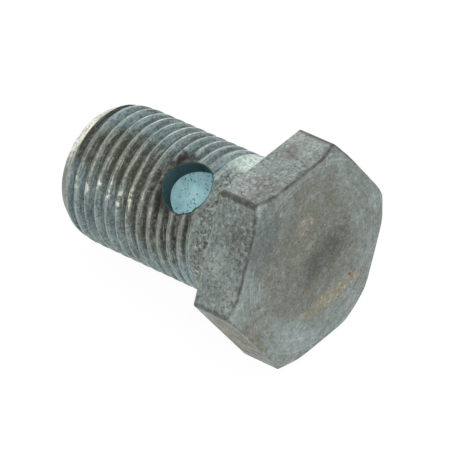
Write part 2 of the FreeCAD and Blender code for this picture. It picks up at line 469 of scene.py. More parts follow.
        # The chamfer, the plain ring and the first crests, which grow up to their full height.
        points = [(0.0, -length), (end - 0.03, -length), (end + 0.1, -length + 0.06)]
        points += [(end + 0.94, -length + 1.42), (end + 1.14, -length + 2.1)]
        points += [(end + 1.28, -length + 3.0), (radius + 0.02, -length + 4.2)]
        # From here the blank stands clear of the crests.
        clear = radius + 0.3
        points += [(clear, -length + 5.0), (clear, self.blank_top), (0.0, self.blank_top)]
        return turn_solid("tip_blank", points, self.blank_steps)

    def head(self, sizes):
        """Shapes the head from a six-sided bar, with worn edges and the cone on its corners."""
        reach = sizes.across_flats / MM / math.sqrt(3.0)
        height = sizes.head_height / MM
        clear_selection()
        bpy.ops.mesh.primitive_cylinder_add(
            vertices=6, radius=reach, depth=height, location=(0.0, 0.0, height / 2.0)
        )
        head = bpy.context.active_object
        head.name = "head"
        bpy.ops.object.transform_apply(location=True, rotation=True, scale=True)
        self.bevel_edges(head, self.side_round, 4, lambda a, b: abs(a.z - b.z) > 1.0)
        self.bevel_edges(head, self.seat_round, 3, lambda a, b: max(a.z, b.z) < 0.01)
        rim = reach - sizes.corner_cut / MM
        slope = math.degrees(sizes.corner_angle)
        # The blank stands clear of the hexagon, and its cone runs softly into the top.
        clear = 1.0
        blend = 1.0
        drop = (reach + clear - rim) * math.tan(sizes.corner_angle)
        points = [(0.0, -clear), (reach + clear, -clear), (reach + clear, height - DOME - drop)]
        centre_r = rim - blend * math.tan(math.radians(slope / 2.0))
        points += arc((centre_r, height - DOME - blend), blend, 90.0 - slope, 90.0, 6)
        # The dome: (share of the top's radius, share of the fall).
        for way, fall in ((0.8, 0.55), (0.6, 0.25), (0.35, 0.06)):
            points.append((centre_r * way, height - DOME * fall))
        points.append((0.0, height))
        blank = turn_solid("head_blank", points, self.blank_steps)
        combine(head, blank, "INTERSECT")
        pick(head)
        worn = head.modifiers.new("Worn edges", "BEVEL")
        worn.limit_method = "ANGLE"
        worn.angle_limit = math.radians(38.0)
        worn.width = self.edge_wear
        worn.segments = 2
        worn.use_clamp_overlap = True
        bpy.ops.object.modifier_apply(modifier=worn.name)
        return head

    def bevel_edges(self, piece, offset, segments, test):
        """Bevels the edges whose two ends pass a test."""
        pick(piece)
        bpy.ops.object.mode_set(mode="EDIT")
        bpy.ops.mesh.select_mode(type="EDGE")
        bpy.ops.mesh.select_all(action="DESELECT")
        bpy.ops.object.mode_set(mode="OBJECT")
        mesh = piece.data
        for edge in mesh.edges:
            first, second = (mesh.vertices[index].co for index in edge.vertices)
            edge.select = test(first, second)
        bpy.ops.object.mode_set(mode="EDIT")
        bpy.ops.mesh.bevel(offset=offset, segments=segments, affect="EDGES")
        bpy.ops.object.mode_set(mode="OBJECT")

    def bore_tool(self, sizes):
        """Turns the tool for the bore, with a broken edge at the tip."""
        radius = sizes.bore_diameter / MM / 2.0
        length = sizes.shank_length / MM
        end = -sizes.bore_end / MM
        mouth = 0.3
        clear = 1.0
        corner = 0.5
        points = [(0.0, -length - clear), (radius + mouth + clear, -length - clear)]
        points += [(radius, -length + mouth), (radius, end - corner)]
        points += arc((radius - corner, end - corner), corner, 0.0, 90.0, 5)[1:]
        points.append((0.0, end))
        return turn_solid("bore_tool", points, self.bore_steps)

    def cross_tool(self, sizes):
        """Turns the tool for the cross hole, flared where it leaves the shank on both sides."""
        radius = sizes.cross_diameter / MM / 2.0
        outside = sizes.shank_diameter / MM / 2.0
        clear = 0.7
        flare = [(radius, outside - 0.24), (radius + 0.03, outside - 0.1)]
        flare += [(radius + 0.12, outside + 0.02), (radius + 0.9, outside + clear)]
        points = [(0.0, -outside - clear)]
        points += [(r, -z) for r, z in reversed(flare)]
        points += flare
        points.append((0.0, outside + clear))
        tool = turn_solid("cross_tool", points, self.cross_steps)
        pick(tool)
        tool.rotation_euler = (0.0, math.radians(90.0), sizes.cross_turn)
        tool.location = (0.0, 0.0, -sizes.cross_offset / MM)
        bpy.ops.object.transform_apply(location=True, rotation=True, scale=True)
        return tool

    def execute(self, context):
        sizes = context.scene.bolt_sizes
        bolt = self.threaded_rod(sizes)
        combine(bolt, self.tip_blank(sizes), "INTERSECT")
        combine(bolt, self.head(sizes), "UNION")
        combine(bolt, self.bore_tool(sizes), "DIFFERENCE")
        combine(bolt, self.cross_tool(sizes), "DIFFERENCE")
        pick(bolt)
        bpy.ops.object.mode_set(mode="EDIT")
        bpy.ops.mesh.select_all(action="SELECT")
        bpy.ops.mesh.remove_doubles(threshold=WELD)
        # The cuts can leave a sliver of two faces that touch. Made triangles, it is one face too
        # many on an edge that has its two, and is taken out.
        bpy.ops.mesh.quads_convert_to_tris(quad_method="BEAUTY", ngon_method="BEAUTY")
        bpy.ops.mesh.select_all(action="DESELECT")
        bpy.ops.mesh.select_mode(type="EDGE")
        bpy.ops.mesh.select_non_manifold()
        bpy.ops.mesh.select_mode(type="FACE")
        bpy.ops.mesh.delete(type="FACE")
        bpy.ops.mesh.select_all(action="SELECT")
        bpy.ops.mesh.normals_make_consistent(inside=False)
        bpy.ops.object.mode_set(mode="OBJECT")
        bpy.ops.object.shade_smooth_by_angle(angle=math.radians(32.0))
        bolt.rotation_euler = (0.0, LIE_ANGLE, 0.0)
        bolt.scale = (MM, MM, MM)
        bolt.location = seat_place(sizes)
        bpy.ops.object.transform_apply(location=True, rotation=True, scale=True)
        bolt.data.materials.clear()
        bolt.data.materials.append(zinc_material(context.scene.bolt_finish, sizes))
        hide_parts(BOLT_NODE)
        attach(bolt, BODY)
        return {"FINISHED"}


def seat_place(sizes):
    """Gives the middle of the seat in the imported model, whose origin is in the cross hole."""
    return Matrix.Rotation(LIE_ANGLE, 3, "Y") @ Vector((0.0, 0.0, sizes.cross_offset))


def add_node(tree, kind, settings, links):
    """Adds a node, sets its fields, and gives each input named in links a value or a link."""
    node = tree.nodes.new(kind)
    for field, value in settings.items():
        setattr(node, field, value)
    for socket, source in links.items():
        if isinstance(source, bpy.types.NodeSocket):
            tree.links.new(source, node.inputs[socket])
        else:
            node.inputs[socket].default_value = source
    return node


def add_rows(tree, found, rows):
    """Adds a node for each row: name, kind, settings and inputs, which may name earlier rows."""
    for name, kind, settings, inputs in rows:
        links = {}
        for socket, source in enumerate(inputs):
            links[socket] = found[source] if isinstance(source, str) else source
        found[name] = add_node(tree, kind, settings, links).outputs[0]


def measure(tree, sizes):
    """Measures every point of the bolt on the bench, in millimetres, however the bolt lies."""
    links = {
        "Vector": add_node(tree, "ShaderNodeTexCoord", {}, {}).outputs["Object"],
        "Location": tuple(seat_place(sizes)),
        "Rotation": (0.0, LIE_ANGLE, 0.0),
        "Scale": (MM, MM, MM),
    }
    bench = add_node(tree, "ShaderNodeMapping", {"vector_type": "TEXTURE"}, links).outputs[0]
    parts = add_node(tree, "ShaderNodeSeparateXYZ", {}, {0: bench}).outputs
    level = add_node(tree, VECTOR, TIMES, {0: bench, 1: (1.0, 1.0, 0.0)}).outputs[0]
    found = {"bench": bench, "x": parts["X"], "y": parts["Y"], "height": parts["Z"]}
    found["radius"] = add_node(tree, VECTOR, {"operation": "LENGTH"}, {0: level}).outputs["Value"]
    found["outward"] = add_node(tree, VECTOR, {"operation": "NORMALIZE"}, {0: level}).outputs[0]
    hole_turn = sizes.cross_turn
    directions = [
        ("across", "bench", (-math.sin(hole_turn), math.cos(hole_turn), 0.0)),
        ("oil_side", "outward", (-0.94, -0.34, 0.0)),
    ]
    for name, turn in (("flat_a", 0.0), ("flat_b", 60.0), ("flat_c", 120.0)):
        facing = (math.cos(math.radians(turn)), math.sin(math.radians(turn)), 0.0)
        directions.append((name, "bench", facing))
    for name, source, direction in directions:
        links = {0: found[source], 1: direction}
        found[name] = add_node(tree, VECTOR, {"operation": "DOT_PRODUCT"}, links).outputs["Value"]
    flat = sizes.across_flats / MM / 2.0
    rim = flat * 2.0 / math.sqrt(3.0) - sizes.corner_cut / MM
    shoulder = sizes.head_height / MM - DOME
    rows = (
        # How far a point lies inside the nearest flat of the hexagon.
        ("flat_a", MATH, UNSIGNED, ("flat_a",)),
        ("flat_b", MATH, UNSIGNED, ("flat_b",)),
        ("flat_c", MATH, UNSIGNED, ("flat_c",)),
        ("span", MATH, MOST, ("flat_a", "flat_b")),
        ("span", MATH, MOST, ("span", "flat_c")),
        ("flat_gap", MATH, MINUS, (flat, "span")),
        # How far it lies below the rim of the head, which dips at the corners.
        ("dip", MATH, MINUS, ("radius", rim)),
        ("dip", MATH, MOST, ("dip", 0.0)),
        ("rim_gap", MATH, MINUS, (shoulder, "height")),
        ("rim_gap", MATH, SHARE, ("dip", -math.tan(sizes.corner_angle), "rim_gap")),
        # Where it lies across the thread: 0 in the groove, 0.5 on the crest.
        ("turn", MATH, {"operation": "ARCTAN2"}, ("y", "x")),
        ("turn", MATH, OVER, ("turn", math.tau)),
        ("climb", MATH, MINUS, ("height", GROOVE_START)),
        ("climb", MATH, OVER, ("climb", sizes.thread_pitch / MM)),
        ("phase", MATH, MINUS, ("climb", "turn")),
        ("phase", MATH, {"operation": "FRACT"}, ("phase",)),
        # How far it lies from the middle of the crest, as a share of the pitch.
        ("off_crest", MATH, MINUS, ("phase", 0.5)),
        ("off_crest", MATH, UNSIGNED, ("off_crest",)),
        # How far it lies from the axis of the cross hole.
        ("across", MATH, TIMES, ("across", "across")),
        ("along", MATH, PLUS, ("height", sizes.cross_offset / MM)),
        ("along", MATH, SHARE, ("along", "along", "across")),
        ("hole_reach", MATH, {"operation": "SQRT"}, ("along",)),
    )
    add_rows(tree, found, rows)
    return found


def scatter(tree, found):
    """Scatters the patterns over the bolt by the real size of their spots in millimetres."""
    rows = (
        # Turning marks run round the axis, about 0.2 mm apart. Streaks run along the thread,
        # about 0.15 mm apart, and change up the shank.
        ("ring_rise", MATH, TIMES, ("radius", 4.5)),
        ("ring_rise", "ShaderNodeCombineXYZ", {}, (0.0, 0.0, "ring_rise")),
        ("ring_place", VECTOR, SHARE, ("outward", (1.3, 1.3, 0.0), "ring_rise")),
        ("streak_rise", MATH, TIMES, ("phase", 10.0)),
        ("streak_rise", "ShaderNodeCombineXYZ", {}, (0.0, 0.0, "streak_rise")),
        ("streak_place", VECTOR, SHARE, ("outward", (2.6, 2.6, 0.0), "streak_rise")),
        ("drift", MATH, TIMES, ("height", 0.6)),
    )
    add_rows(tree, found, rows)
    # Name, place, seed or drift (None for a noise without one), size, detail and roughness.
    noises = (
        ("cloud", "bench", 0.0, 2.6, 4.0, 0.6),
        ("cool", "bench", 41.0, 2.2, 5.0, 0.6),
        ("warm", "bench", 47.0, 1.4, 5.0, 0.6),
        ("ragged", "bench", None, 1.1, 4.0, 0.65),
        ("fleck", "bench", 3.0, 0.8, 5.0, 0.6),
        ("salt", "bench", 7.0, 0.5, 6.0, 0.6),
        ("scratch", "bench", 31.0, 0.4, 3.0, 0.6),
        ("pits", "bench", 11.0, 0.3, 5.0, 0.6),
        ("grit", "bench", 17.0, 0.17, 2.0, 0.6),
        ("glint", "bench", 23.0, 0.17, 2.0, 0.6),
        ("rings", "ring_place", None, 1.0, 3.0, 0.6),
        ("streaks", "streak_place", found["drift"], 1.0, 4.0, 0.65),
    )
    for name, place, seed, size, detail, roughness in noises:
        links = {"Vector": found[place], "Scale": 1.0 / size, "Detail": detail}
        links["Roughness"] = roughness
        settings = {}
        if seed is not None:
            settings["noise_dimensions"] = "4D"
            links["W"] = seed
        found[name] = add_node(tree, "ShaderNodeTexNoise", settings, links).outputs["Fac"]
    # Black specks in the bore: name, spacing, and radius as a share of it.
    specks = (("specks_a", 0.5, 0.2), ("specks_b", 0.9, 0.13), ("specks_c", 0.42, 0.3))
    for name, size, edge in specks:
        links = {"Vector": found["bench"], "Scale": 1.0 / size, "Randomness": 1.0}
        reach = add_node(tree, "ShaderNodeTexVoronoi", {}, links).outputs["Distance"]
        add_rows(tree, found, ((name, RANGE, SOFT, (reach, edge, edge * 0.6)),))
    rows = (
        ("cloud", RANGE, SOFT, ("cloud", 0.36, 0.66)),
        ("cool", RANGE, SOFT, ("cool", 0.5, 0.68)),
        ("warm", RANGE, SOFT, ("warm", 0.5, 0.7)),
        ("ragged", MATH, SHARE, ("ragged", 1.5, -0.75)),
        ("fleck", RANGE, SOFT, ("fleck", 0.4, 0.66)),
        ("salt", RANGE, SOFT, ("salt", 0.46, 0.7)),
        ("scratch", RANGE, SOFT, ("scratch", 0.55, 0.66)),
        ("pits", RANGE, SOFT, ("pits", 0.54, 0.36)),
        ("grit", RANGE, SOFT, ("grit", 0.52, 0.3)),
        ("glint", RANGE, SOFT, ("glint", 0.55, 0.75)),
        ("pale_ring", RANGE, SOFT, ("rings", 0.52, 0.66)),
        ("dark_ring", RANGE, SOFT, ("rings", 0.48, 0.34)),
        ("pale_streak", RANGE, SOFT, ("streaks", 0.54, 0.66)),
        ("dark_streak", RANGE, SOFT, ("streaks", 0.5, 0.38)),
    )
    add_rows(tree, found, rows)


def spread_stains(tree, found, sizes):
    """Marks the oval spots where the photograph shows stains and clean metal, and the spots of
    painted highlights.
    """
    top = sizes.head_height / MM
    tip = -sizes.shank_length / MM
    hole = -sizes.cross_offset / MM
    # Name, middle, half sizes, turn in degrees and softness.
    stains = [
        ("middle", (-1.2, -0.3, top), (8.6, 8.0, 3.0), 0.0, 0.4),
        ("heart", (0.7, 1.9, top), (3.9, 1.9, 3.0), -73.0, 0.5),
        ("tan_smear", (6.2, 2.2, top), (0.9, 4.4, 3.0), 0.0, 0.5),
        ("tan_spot", (-4.8, -0.2, top), (1.0, 1.3, 3.0), 0.0, 0.5),
        ("dull_rim", (-6.6, -6.6, top), (3.6, 2.2, 3.0), -30.0, 0.5),
        ("blue_corner", (6.4, -5.7, top), (6.0, 1.8, 3.0), 55.0, 0.5),
        ("powder", (-11.0, -4.4, 1.3), (1.0, 2.6, 1.6), 0.0, 0.5),
        ("low_flat", (5.5, -9.5, 2.6), (6.0, 3.0, 3.4), 0.0, 0.4),
        ("deposit", (-7.0, -3.0, hole - 2.2), (3.1, 3.1, 1.7), 0.0, 0.3),
        ("drip", (-5.4, -5.7, hole - 1.9), (1.7, 1.7, 1.5), 0.0, 0.4),
        ("near_head_sheen", (-7.2, 2.6, -3.2), (2.4, 2.8, 2.9), 0.0, 0.35),
        ("tip_ring_highlight", (-6.6, -2.0, tip + 0.5), (3.6, 3.6, 2.0), 0.0, 0.4),
        ("oily", (-4.9, -6.0, -10.0), (5.6, 5.6, 5.8), 0.0, 0.4),
        ("oily_tip", (-6.9, -3.9, -17.0), (3.4, 3.4, 6.6), 0.0, 0.5),
        ("bluish", (-7.9, -0.5, -18.5), (4.0, 4.0, 6.0), 0.0, 0.5),
        ("crest_highlight_zone", (-4.0, -6.9, -17.2), (1.5, 1.5, 6.2), 0.0, 0.4),
        ("packed", (-4.2, -6.8, -8.6), (4.2, 4.2, 4.4), 0.0, 0.4),
        ("speckled", (2.7, 5.1, -15.0), (3.0, 3.0, 2.0), 0.0, 0.5),
        ("chip", (4.5, 3.67, -14.75), (0.34, 0.34, 0.3), 0.0, 0.3),
    ]
    patches = {
        "brown": ((-7.4, -8.4, 3.5), (-11.8, -5.0, 3.6), (-11.0, -3.6, 3.6), (-11.0, 3.0, 2.0)),
        "pale": ((-4.4, -10.1, 1.8), (-1.5, -11.8, 4.6), (-11.0, 5.6, 1.2), (-11.0, 4.4, 3.2)),
    }
    for tint, places in patches.items():
        for count, place in enumerate(places):
            stains.append((tint + str(count), place, (1.6, 1.6, 1.2), 0.0, 0.6))
    # All up to here have a ragged edge, and the last ones an even edge.
    ragged_count = len(stains)
    stains += [
        ("rust", (5.5, 5.4, top), (0.26, 0.2, 1.0), 30.0, 0.4),
        ("crest_highlight_side", (-5.6, 5.6, -14.0), (5.6, 5.6, 11.0), 0.0, 0.3),
        ("upper_tip", (-7.6, 0.5, tip), (6.4, 6.4, 4.0), 0.0, 0.3),
    ]
    for count, (name, middle, half, turn, softness) in enumerate(stains):
        edge = "ragged" if count < ragged_count else 0.0
        links = {"Vector": found["bench"], "Location": middle, "Scale": half}
        links["Rotation"] = (0.0, 0.0, math.radians(turn))
        oval = add_node(tree, "ShaderNodeMapping", {"vector_type": "TEXTURE"}, links).outputs[0]
        reach = add_node(tree, VECTOR, {"operation": "LENGTH"}, {0: oval}).outputs["Value"]
        rows = (
            (name, MATH, PLUS, (reach, edge)),
            (name, RANGE, SOFT, (name, 1.0 + softness, 1.0 - softness)),
        )
        add_rows(tree, found, rows)
    for tint, places in patches.items():
        found[tint] = found[tint + "0"]
        for count in range(1, len(places)):
            add_rows(tree, found, ((tint, MATH, MOST, (tint, tint + str(count))),))


def mark_zones(tree, found, sizes):
    """Marks the zones of the bolt and what has settled, worn or been cut on each."""
    crest = sizes.shank_diameter / MM / 2.0
    bore = sizes.bore_diameter / MM / 2.0
    cross = sizes.cross_diameter / MM / 2.0
    top = sizes.head_height / MM
    tip = -sizes.shank_length / MM
    rows = (
        ("on_head", RANGE, SOFT, ("height", -0.04, -0.01)),
        ("on_shank", MATH, MINUS, (1.0, "on_head")),
        ("near_top", RANGE, SOFT, ("height", top - 1.3, top - 1.1)),
        ("on_top", RANGE, SOFT, ("flat_gap", 0.04, 0.2)),
        ("on_top", MATH, TIMES, ("on_top", "near_top")),
        ("turned", RANGE, SOFT, ("radius", 6.5, 9.0)),
        ("turned", MATH, TIMES, ("turned", "on_top")),
        ("in_bore", RANGE, SOFT, ("radius", bore + 0.12, bore + 0.04)),
        ("in_bore", MATH, TIMES, ("in_bore", "on_shank")),
        ("past_bore", RANGE, SOFT, ("radius", bore + 0.04, bore + 0.12)),
        ("in_cross", RANGE, SOFT, ("hole_reach", cross + 0.1, cross + 0.04)),
        ("in_cross", MATH, TIMES, ("in_cross", "on_shank")),
        ("in_cross", MATH, TIMES, ("in_cross", "past_bore")),
        ("wall", RANGE, SOFT, ("radius", bore + 0.5, bore + 0.7)),
        ("on_thread", RANGE, SOFT, ("height", -4.0, -4.9)),
        ("on_thread", MATH, TIMES, ("on_thread", "wall")),
        ("smooth", MATH, MINUS, ("on_shank", "on_thread")),
        ("smooth", MATH, MINUS, ("smooth", "in_bore")),
        ("smooth", MATH, MOST, ("smooth", 0.0)),
        ("outside", RANGE, SOFT, ("radius", crest - 0.6, crest - 0.5)),
        ("outside", MATH, TIMES, ("outside", "on_thread")),
        # Painted shade: the bore is darkened towards its end and towards the tip, away from the
        # cross hole.
        ("deep", RANGE, SOFT, ("height", -14.0, -5.0)),
        ("tip_deep", RANGE, SOFT, ("height", -19.5, tip)),
        ("deep", MATH, MOST, ("deep", "tip_deep")),
        ("clouding", MATH, PLUS, ("fleck", "cloud")),
        # Old oil holds dark residue in the groove, most of it below the cross hole.
        ("oily", MATH, MOST, ("oily", "oily_tip")),
        ("oil_hold", MATH, SHARE, ("oily", 0.75, 0.25)),
        ("sunk", RANGE, SOFT, ("radius", crest - 0.05, crest - 0.2)),
        ("washed", RANGE, SOFT, ("off_crest", 0.34, 0.5)),
        ("washed", MATH, SHARE, ("washed", -0.6, 1.0)),
        ("groove", RANGE, SOFT, ("off_crest", 0.14, 0.24)),
        ("groove", MATH, TIMES, ("groove", "washed")),
        ("groove", MATH, TIMES, ("groove", "sunk")),
        ("groove", MATH, TIMES, ("groove", "oil_hold")),
        ("groove", MATH, TIMES, ("groove", "on_thread")),
        ("root", RANGE, SOFT, ("off_crest", 0.25, 0.34)),
        ("root", MATH, TIMES, ("root", "packed")),
        ("root", MATH, TIMES, ("root", "on_thread")),
        ("residue_gaps", MATH, SHARE, ("fleck", -0.45, 1.0)),
        ("deposit", MATH, MOST, ("deposit", "drip")),
        ("deposit", MATH, TIMES, ("deposit", "residue_gaps")),
        # The crests are worn flat and pale. Painted highlights lie on them in one zone, and a
        # painted pale highlight line runs on the crests of the far side.
        ("band", RANGE, SOFT, ("off_crest", 0.26, 0.1)),
        ("band", MATH, TIMES, ("band", "outside")),
        ("wear", MATH, SHARE, ("fleck", 0.8, 0.2)),
        ("crest", RANGE, SOFT, ("off_crest", 0.085, 0.04)),
        ("crest", MATH, TIMES, ("crest", "outside")),
        ("crest", MATH, TIMES, ("crest", "wear")),
        ("highlight_breakup", RANGE, SOFT, ("fleck", 0.25, 0.6)),
        # The head's edges are dark only on the side that lay in old oil.
        ("oiled", RANGE, SOFT, ("oil_side", 0.05, 0.55)),
        ("oiled", MATH, SHARE, ("oiled", 0.85, 0.15)),
        ("oiled", MATH, TIMES, ("oiled", "on_head")),
        ("broken", MATH, SHARE, ("fleck", 0.35, 0.7)),
        ("rim_line", MATH, MOST, ("flat_gap", "rim_gap")),
        ("rim_line", RANGE, SOFT, ("rim_line", 0.4, 0.04)),
        ("rim_line", MATH, TIMES, ("rim_line", "oiled")),
        ("rim_line", MATH, TIMES, ("rim_line", "broken")),
        ("corner", RANGE, SOFT, ("radius", 12.4, 12.58)),
        ("at_flat", RANGE, SOFT, ("flat_gap", 0.5, 0.2)),
        ("seat_edge_highlight", RANGE, SOFT, ("height", 0.3, 0.12)),
        ("mouth", RANGE, SOFT, ("hole_reach", cross + 0.22, cross + 0.08)),
        ("mouth_wall", RANGE, SOFT, ("radius", bore + 0.3, bore + 0.6)),
        # The tip's chamfer ends in a painted highlight line, with a dark band painted behind it,
        # both on the upper side.
        ("chamfer", RANGE, SOFT, ("height", tip + 1.5, tip + 1.35)),
        ("chamfer", MATH, MINUS, ("chamfer", "in_bore")),
        ("chamfer", MATH, MOST, ("chamfer", 0.0)),
        ("tip_edge_highlight", RANGE, SOFT, ("height", tip + 1.28, tip + 1.36)),
        ("tip_edge_highlight_end", RANGE, SOFT, ("height", tip + 1.56, tip + 1.46)),
        ("behind", RANGE, SOFT, ("height", tip + 1.46, tip + 1.56)),
        ("behind_end", RANGE, SOFT, ("height", tip + 2.3, tip + 1.7)),
        # Pits and salts are fewer on the top, and salts on the thread.
        ("pit_share", MATH, SHARE, ("on_top", -0.45, 1.0)),
        ("salt_share", MATH, SHARE, ("on_top", -0.75, 1.0)),
        ("thread_share", MATH, SHARE, ("on_thread", -0.6, 1.0)),
        ("powdered", MATH, PLUS, ("salt", 0.25)),
        ("scratched", MATH, MOST, ("tan_spot", "tan_smear")),
        ("scratched", MATH, TIMES, ("scratched", "scratch")),
        # What lies on the metal is dull and rough.
        ("dirt", MATH, MOST, ("groove", "deposit")),
        ("dirt", MATH, MOST, ("dirt", "root")),
        ("dirt", MATH, MOST, ("dirt", "rim_line")),
        ("metal", MATH, SHARE, ("dirt", -0.7, 0.75)),
        ("metal", MATH, SHARE, ("in_bore", -0.75, "metal")),
        ("metal", MATH, MOST, ("metal", 0.0)),
        ("rough", MATH, SHARE, ("cloud", 0.12, 0.42)),
        ("rough", MATH, SHARE, ("dirt", 0.35, "rough")),
        # The grain of the plating and the turning marks stand out a little.
        ("relief", MATH, TIMES, ("rings", "turned")),
        ("relief", MATH, TIMES, ("relief", 0.5)),
        ("relief", MATH, SHARE, ("fleck", 0.9, "relief")),
        ("relief", MATH, SHARE, ("salt", 0.5, "relief")),
        ("relief", MATH, SHARE, ("pits", -0.5, "relief")),
        ("thread_relief", MATH, TIMES, ("pale_streak", "on_thread")),
        ("relief", MATH, SHARE, ("thread_relief", 0.5, "relief")),
    )
    add_rows(tree, found, rows)


def zinc_material(finish, sizes):
    """Steel, barrel zinc plated and blue passivated, then dulled by years of handling.

    It gives the eye a soft satin blue-grey that breaks into olive haze and pale speckles,
    dark in the thread and clean and cyan inside the bore. The bore's cyan is painted brighter
    than the zinc, as light bounced inside it, with painted shade towards its ends. The cross
    hole's wall carries painted shade, and painted highlights lie on the tip, on the shank by
    the head, along the seat's edge and on some crests.
    """
    material = bpy.data.materials.new("blue_passivated_zinc_plating")
    material.use_nodes = True
    tree = material.node_tree
    tree.nodes.clear()
    found = measure(tree, sizes)
    scatter(tree, found)
    spread_stains(tree, found, sizes)
    mark_zones(tree, found, sizes)
    black = srgb("16211f")
    # The coats from the plating outwards: colour, strength and the marks where it shows.
    coats = (
        (finish.haze, 0.4, "cloud"),
        (finish.haze, 0.85, "middle"),
        (srgb("9fb4ba"), 0.36, "cool", "on_top"),
        (srgb("8a8162"), 0.3, "warm", "on_top"),
        (finish.bloom, 0.3, "pale_ring", "turned"),
        (finish.residue, 0.18, "dark_ring", "turned"),
        (srgb("8a8371"), 0.5, "tan_spot"),
        (srgb("938a70"), 0.6, "tan_smear"),
        (srgb("40413d"), 0.65, "heart"),
        (srgb("4f5a5a"), 0.6, "dull_rim"),
        (srgb("a9bac0"), 0.3, "blue_corner"),
        (srgb("ddd3ad"), 0.6, "scratched"),
        (srgb("625a4c"), 0.5, "brown"),
        (srgb("aeb6b0"), 0.45, "pale"),
        (srgb("696549"), 0.9, "low_flat"),
        (srgb("dfe5ee"), 0.45, "powdered", "powder"),
        (finish.haze, 0.3, "smooth"),
        (finish.residue, 0.6, "pits", "smooth"),
        (srgb("cfd8d8"), 0.6, "salt", "smooth"),
        (srgb("5d5b52"), 0.3, "fleck"),
        (srgb("859ea4"), 0.75, "on_thread"),
        (srgb("8eaab2"), 0.6, "bluish", "on_thread"),
        (srgb("565a44"), 0.8, "oily", "on_thread"),
        (finish.residue, 0.8, "groove"),
        (srgb("1b150c"), 0.85, "root"),
        (srgb("92988c"), 0.4, "band"),
        (srgb("8f9087"), 0.6, "packed", "band"),
        (srgb("8f9082"), 0.8, "chamfer"),
        (srgb("2e2618"), 0.8, "behind", "behind_end", "upper_tip"),
        # Painted highlight along the end of the tip's chamfer, on the upper side.
        (srgb("fff6cf"), 0.9, "tip_edge_highlight", "tip_edge_highlight_end", "upper_tip"),
        # Painted highlight on the upper part of the tip's chamfer.
        (srgb("f0f3e6"), 1.0, "tip_ring_highlight", "chamfer"),
        # Painted reflection: a pale sheen on the upper side of the shank next to the head.
        (srgb("d6eae2"), 0.75, "near_head_sheen"),
        (finish.bloom, 0.5625, "salt", "salt_share", "thread_share"),
        (finish.residue, 0.5, "pits", "pit_share"),
        (finish.worn_crest, 0.3, "crest"),
        # Painted highlight: thin pale lines on the crests of the far side.
        (srgb("e9e8da"), 0.75, "crest_highlight_side", "crest"),
        # Painted highlights: short bright spots on the crests in one zone, broken up by noise.
        (srgb("f0f0e0"), 0.65, "crest_highlight_zone", "highlight_breakup", "band"),
        (finish.residue, 0.4, "grit"),
        (finish.residue, 0.5, "dark_streak", "on_thread"),
        (srgb("b9c4bd"), 0.4, "pale_streak", "on_thread"),
        (finish.bloom, 0.3, "glint"),
        (srgb("2a2119"), 0.75, "mouth", "mouth_wall", "on_shank"),
        (srgb("17120a"), 0.95, "deposit"),
        # Painted highlight: a pale line along the seat's edge of the head's flats.
        (srgb("b5b096"), 0.35, "seat_edge_highlight", "on_head", "at_flat"),
        (srgb("2c281b"), 0.88, "rim_line"),
        (srgb("373224"), 0.68, "corner", "oiled"),
        (srgb("6b4428"), 0.85, "rust"),
        # Painted shade: the cross hole's wall is painted dark teal, its blue zinc darkened as in
        # shadow.
        (srgb("2b4a4e"), 1.0, "in_cross"),
        # Fresh zinc in the bore, painted brighter and more cyan as light bounced inside it.
        (finish.bore_zinc_and_light, 1.0, "in_bore"),
        (srgb("86aab0"), 0.3, "clouding", "in_bore"),
        (srgb("1b3a3f"), 0.9, "chip", "in_bore"),
        # Painted shade in the depths of the bore.
        (srgb("33474b"), 0.8, "deep", "in_bore"),
        (black, 0.85, "specks_a", "in_bore"),
        (black, 0.85, "specks_b", "in_bore"),
        (black, 0.85, "specks_c", "in_bore", "speckled"),
    )
    colour = (*finish.plating, 1.0)
    for coat, strength, *marks in coats:
        share = strength
        for mark in marks:
            share = add_node(tree, MATH, TIMES, {0: share, 1: found[mark]}).outputs[0]
        links = {0: share, 6: colour, 7: (*coat, 1.0)}
        colour = add_node(tree, "ShaderNodeMix", {"data_type": "RGBA"}, links).outputs[2]
    # The bump's height is a few hundredths of a millimetre.
    links = {"Height": found["relief"], "Strength": 0.6, "Distance": 0.05 * MM}
    bump = add_node(tree, "ShaderNodeBump", {}, links).outputs["Normal"]
    links = {"Base Color": colour, "Metallic": found["metal"], "Roughness": found["rough"]}
    links["Normal"] = bump
    surface = add_node(tree, "ShaderNodeBsdfPrincipled", {}, links).outputs["BSDF"]
    add_node(tree, "ShaderNodeOutputMaterial", {}, {"Surface": surface})
    return material


